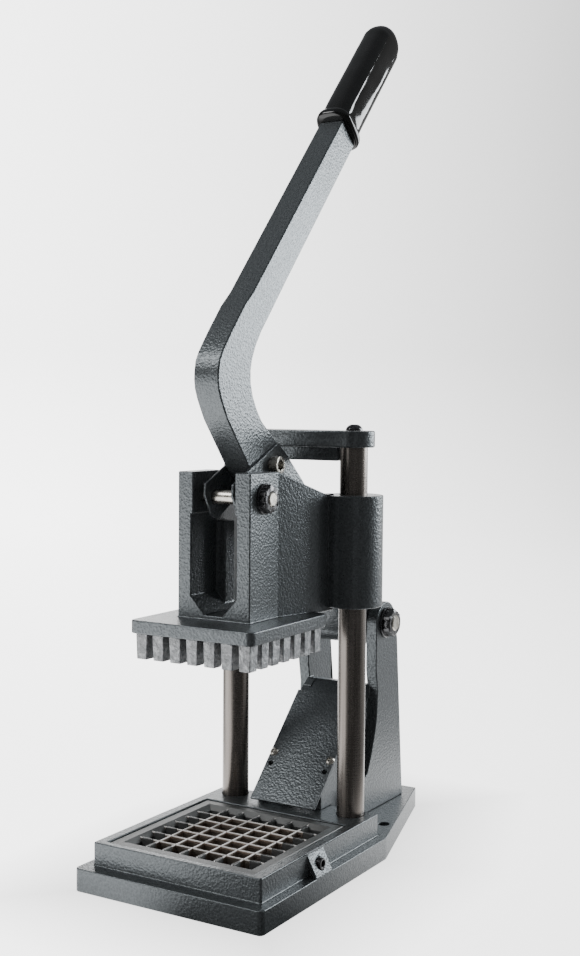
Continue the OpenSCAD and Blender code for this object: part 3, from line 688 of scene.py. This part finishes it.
def nut_rings(flats, thickness, bore):
    """A hexagon nut with chamfered corners and a countersunk bore."""
    half = flats / 2
    chamfer = 0.12 * thickness
    face = half * 0.97
    ease = 0.4 * MM
    return [
        (bore, 0, False), (half, 0, False), (half, chamfer / 2, True),
        (half, thickness - chamfer, True), (face, thickness, False),
        (bore + ease, thickness, False), (bore, thickness - ease, False),
    ]


def washer_rings(radius, thickness, bore):
    """A washer with eased edges."""
    ease = 0.25 * thickness
    return [
        (bore, 0, False), (radius - ease, 0, False), (radius, ease, False),
        (radius, thickness - ease, False), (radius - ease, thickness, False), (bore, thickness, False),
    ]


def socket_rings(radius, height, socket, depth, ease):
    """A screw head with eased edges and a six-sided socket."""
    half = socket / 2
    shoulder = 0.3 * ease
    rim = half * 1.18
    countersink = 0.3 * MM
    return [
        (radius - ease, 0, False), (radius, ease, False), (radius, height - ease, False),
        (radius - shoulder, height - shoulder, False), (radius - ease, height, False),
        (rim, height, False), (half, height - countersink, True), (half, height - depth, True),
    ]


def make_cross_bolts(black, bright):
    """Washers, nuts and bolts of the ram's pivot and of the lever's own pivot."""
    sets = [
        ("ram", "ram_washers", "ram_nuts", "ram_bolt", 17 * MM, 10 * MM),
        ("base", "stand_washers", "stand_nuts", "stand_bolt", 19 * MM, 12 * MM),
    ]
    washer_thickness = 1.8 * MM
    ease = 0.8 * MM
    for body, washers, nuts, bolt, flats, shank in sets:
        bore = shank / 2
        for node, label in ((washers, "washer"), (nuts, "nut")):
            low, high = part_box(node)
            centre = middle(node)
            if label == "washer":
                thickness = washer_thickness
                rings = washer_rings((high.z - low.z) / 2, thickness, bore)
            else:
                # A nut stands out beyond its washer by its own thickness
                thickness = high.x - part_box(washers)[1].x
                rings = nut_rings(flats, thickness, bore)
            bm = bmesh.new()
            for side in (-1, 1):
                turned(bm, rings, along_x(side, high.x - thickness, centre.y, centre.z))
            piece = smooth(object_from(body + "_" + label + "s", bm), 35)
            finish_piece(piece, body, "black_steel", black, node)
        centre = middle(bolt)
        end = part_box(bolt)[1].x
        bm = bmesh.new()
        rings = [
            (bore - ease, -end, False), (bore, -end + ease, False), (bore, end - ease, False),
            (bore - ease, end, False),
        ]
        turned(bm, rings, along_x(1, 0, centre.y, centre.z))
        shaft = smooth(object_from(body + "_cross_bolt", bm), 35)
        finish_piece(shaft, body, "bright_steel", bright, bolt)


def make_socket_screws(black, bright):
    """The link pivots' screws, the clamp screws and the dome screws of the top bar."""
    low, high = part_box("link_screws")
    centre = middle("link_screws")
    head = 7.4 * MM
    bm = bmesh.new()
    for side in (-1, 1):
        rings = socket_rings((high.z - low.z) / 2, head, 6.9 * MM, 3.7 * MM, 0.7 * MM)
        turned(bm, rings, along_x(side, high.x - head, centre.y, centre.z))
    finish_piece(smooth(object_from("link_pivots", bm), 35), "links", "bright_steel", bright, "link_screws")

    low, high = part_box("clamp_screws")
    centre = middle("clamp_screws")
    head = 5 * MM
    bm = bmesh.new()
    for side in (-1, 1):
        rings = socket_rings((high.z - low.z) / 2, head, 4.6 * MM, 2.5 * MM, 0.5 * MM)
        turned(bm, rings, along_x(side, high.x - head, centre.y, centre.z))
    finish_piece(smooth(object_from("side_screws", bm), 35), "base", "black_steel", black, "clamp_screws")

    low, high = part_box("crossbar_screws")
    bar_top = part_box("crossbar")[1].z
    centre = middle("crossbar_screws")
    radius = 6.2 * MM
    height = high.z - bar_top
    arc = 1.15
    steps = 8
    sunk = 0.5 * MM
    socket = 2.3 * MM
    socket_floor = 2.3 * MM
    rim = 2.5 * MM
    countersink = 0.2 * MM
    rings = [(radius, -sunk, False)]
    for k in range(steps + 1):
        angle = k / steps * arc
        rings.append((radius * math.cos(angle), height * math.sin(angle) / math.sin(arc), False))
    rings += [(rim, height, False), (socket, height - countersink, True), (socket, socket_floor, True)]
    bm = bmesh.new()
    for side in (-1, 1):
        x = side * (high.x - radius)
        turned(bm, rings, Matrix.Translation((x, centre.y, bar_top)))
    finish_piece(smooth(object_from("dome_screws", bm), 35), "base", "black_steel", black, "crossbar_screws")


def make_grip(vinyl):
    """A dipped vinyl sleeve: full round sides that sink a little, a rolled collar and a domed tip."""
    half_w = 12.7 * MM
    half_d = 16.45 * MM
    # How far the sleeve stands to the front, the share of it at the foot, and where it is all there
    ahead = 2.4 * MM
    ahead_at_foot = 0.3
    swell = 22 * MM
    # The collar: height in millimetres, and share of how far it stands out
    collar = (
        (0, -0.6), (0.25, 0.2), (0.9, 0.75), (2, 1), (4.6, 1), (6.2, 0.8), (7.2, 0.3), (7.6, 0.05), (8.6, 0))
    collar_top = collar[-1][0] * MM
    collar_out = 2.4 * MM
    tip_height = GRIP_LENGTH - 0.1 * MM
    dome_start = tip_height - half_d
    sides = 96
    corner = 0.68
    deepest = 0.15 * MM
    sink_spread = 0.45
    place = Matrix.Translation(LEVER_END) @ Matrix.Rotation(LEVER_RISE - math.pi / 2, 4, "X")
    bm = bmesh.new()

    def ball(height, half):
        """Share of the full width at a height, where the end is half a circle."""
        over = max(0, height - (tip_height - half)) / half
        return math.sqrt(max(0, 1 - over * over))

    def ring(height, out, power):
        """One ring of the skin: a rounded rectangle whose broad sides sink along the middle."""
        share = min(1, max(0, (height - collar_top) / (tip_height - collar_top)))
        sink = deepest * math.sin(math.pi * share)
        lifted = math.sin(math.pi / 2 * min(1, height / swell))
        forward = ahead * (ahead_at_foot + (1 - ahead_at_foot) * lifted)
        loop = []
        for i in range(sides):
            c = math.cos(TURN * i / sides)
            s = math.sin(TURN * i / sides)
            x = (half_w * ball(height, half_w) + out) * math.copysign(abs(c) ** power, c)
            y = (half_d * ball(height, half_d) + out) * math.copysign(abs(s) ** power, s)
            x -= math.copysign(sink * math.exp(-(s / sink_spread) ** 2) * abs(c), c)
            loop.append(bm.verts.new(place @ Vector((x, y - forward, height))))
        return loop

    loops = [ring(height * MM, out * collar_out, corner) for height, out in collar]
    straight = 34
    for k in range(1, straight + 1):
        loops.append(ring(collar_top + (dome_start - collar_top) * k / straight, 0, corner))
    steps = 20
    for k in range(1, steps):
        turn = math.pi / 2 * k / steps
        power = corner + (1 - corner) * math.sqrt(k / steps)
        loops.append(ring(dome_start + half_d * math.sin(turn), 0, power))
    for low, high in zip(loops, loops[1:]):
        for i in range(sides):
            j = (i + 1) % sides
            bm.faces.new((low[i], low[j], high[j], high[i]))
    tip = bm.verts.new(place @ Vector((0, -ahead, tip_height)))
    for i in range(sides):
        bm.faces.new((loops[-1][i], loops[-1][(i + 1) % sides], tip))
    bm.faces.new(list(reversed(loops[0])))
    finish_piece(smooth(object_from("vinyl_grip", bm), 60), "lever", "black_grip", vinyl, "grip")


def dress_cad_nodes(bright):
    """CAD nodes whose shape is right as it is."""
    for node in ("guard_screws", "lever_pin"):
        obj = nodes[node]
        obj.data.materials.clear()
        obj.data.materials.append(bright)


# ------------------------------------------------------------- studio and view

def sweep(name, material, shrink, lift):
    """A round sweep of paper or cloth, with the floor running up into the wall."""
    floor_radius = 2.4
    curve = 1.4
    wall = 2.6
    profile = [(0.001, 0), (0.6, 0), (1.4, 0), (floor_radius, 0)]
    steps = 14
    for k in range(1, steps + 1):
        angle = math.pi / 2 * k / steps
        profile.append((floor_radius + curve * math.sin(angle), curve * (1 - math.cos(angle))))
    profile.append((floor_radius + curve, wall))
    bm = bmesh.new()
    sides = 96
    loops = []
    for radius, height in profile:
        r = radius * shrink
        loops.append([
            bm.verts.new((r * math.cos(TURN * i / sides), r * math.sin(TURN * i / sides), height + lift))
            for i in range(sides)])
    for a, b in zip(loops, loops[1:]):
        for i in range(sides):
            j = (i + 1) % sides
            bm.faces.new((a[i], b[i], b[j], a[j]))
    bm.faces.new(loops[0])
    bmesh.ops.recalc_face_normals(bm, faces=bm.faces)
    obj = smooth(object_from(name, bm))
    obj.data.materials.append(material)
    return obj


def make_studio():
    """A sweep of pale paper, and inside it a tent that lights the part and isn't seen by the camera."""
    tent_shrink = 0.98
    tent_lift = 0.4 * MM
    sweep("studio_sweep", studio_paper(), 1.0, 0.0)
    tent = sweep("light_tent", tent_cloth(), tent_shrink, tent_lift)
    tent.visible_camera = False
    tent.visible_shadow = False


def softbox(name, place, target, width, height, radiance, colour=(1, 1, 1)):
    """A soft rectangular light of an even brightness that faces its target."""
    light = bpy.data.lights.new(name, "AREA")
    light.shape = "RECTANGLE"
    light.size = width
    light.size_y = height
    light.energy = radiance * math.pi * width * height
    light.color = colour
    obj = bpy.data.objects.new(name, light)
    obj.location = place
    obj.rotation_euler = (Vector(target) - Vector(place)).to_track_quat("-Z", "Y").to_euler()
    obj.visible_camera = False
    bpy.context.scene.collection.objects.link(obj)


def make_lights():
    """A broad box low behind on the right, a strip for the grip and a box high in front on the left."""
    cool = (0.93, 0.97, 1.0)
    softbox("rear_right_box", (0.75, 1.17, 0.53), (0, 0, 0.4), 0.9, 0.58, 13.0, cool)
    softbox("right_strip", (1.0, 0.95, 0.98), (0, 0.1, 0.6), 0.16, 0.5, 30.0, cool)
    softbox("front_left_box", (-0.95, -1.1, 1.45), (0, 0, 0.3), 0.75, 0.7, 11.0)
    world = bpy.data.worlds.new("studio_air")
    world.use_nodes = True
    air = world.node_tree.nodes["Background"]
    air.inputs["Color"].default_value = AIR_COLOUR
    air.inputs["Strength"].default_value = AIR_GLOW
    bpy.context.scene.world = world


def make_camera():
    """The camera stands to the right of the front and looks a little down."""
    look = Vector((-math.sin(CAMERA_AZIMUTH) * math.cos(CAMERA_DIP),
                   math.cos(CAMERA_AZIMUTH) * math.cos(CAMERA_DIP), -math.sin(CAMERA_DIP)))
    level = Vector((math.cos(CAMERA_AZIMUTH), math.sin(CAMERA_AZIMUTH), 0))
    up = level.cross(look)
    right = level * math.cos(CAMERA_ROLL) + up * math.sin(CAMERA_ROLL)
    upright = -level * math.sin(CAMERA_ROLL) + up * math.cos(CAMERA_ROLL)
    data = bpy.data.cameras.new("camera")
    data.sensor_fit = "HORIZONTAL"
    data.sensor_width = SENSOR
    data.lens = CAMERA_LENS
    camera = bpy.data.objects.new("camera", data)
    bpy.context.scene.collection.objects.link(camera)
    turn = Matrix((right, upright, -look)).transposed().to_4x4()
    camera.matrix_world = Matrix.Translation(CAMERA_PLACE) @ turn
    bpy.context.scene.camera = camera


# ------------------------------------------------------------------- the build

make_camera()
make_castings(hammered_paint())
make_rods(ground_steel())
make_blades(blade_steel())
make_pusher(raw_aluminium())
make_blade_frame(dark_casting())
black = black_steel()
bright = bright_steel()
make_cross_bolts(black, bright)
make_socket_screws(black, bright)
make_grip(black_grip())
dress_cad_nodes(bright)
make_studio()
make_lights()
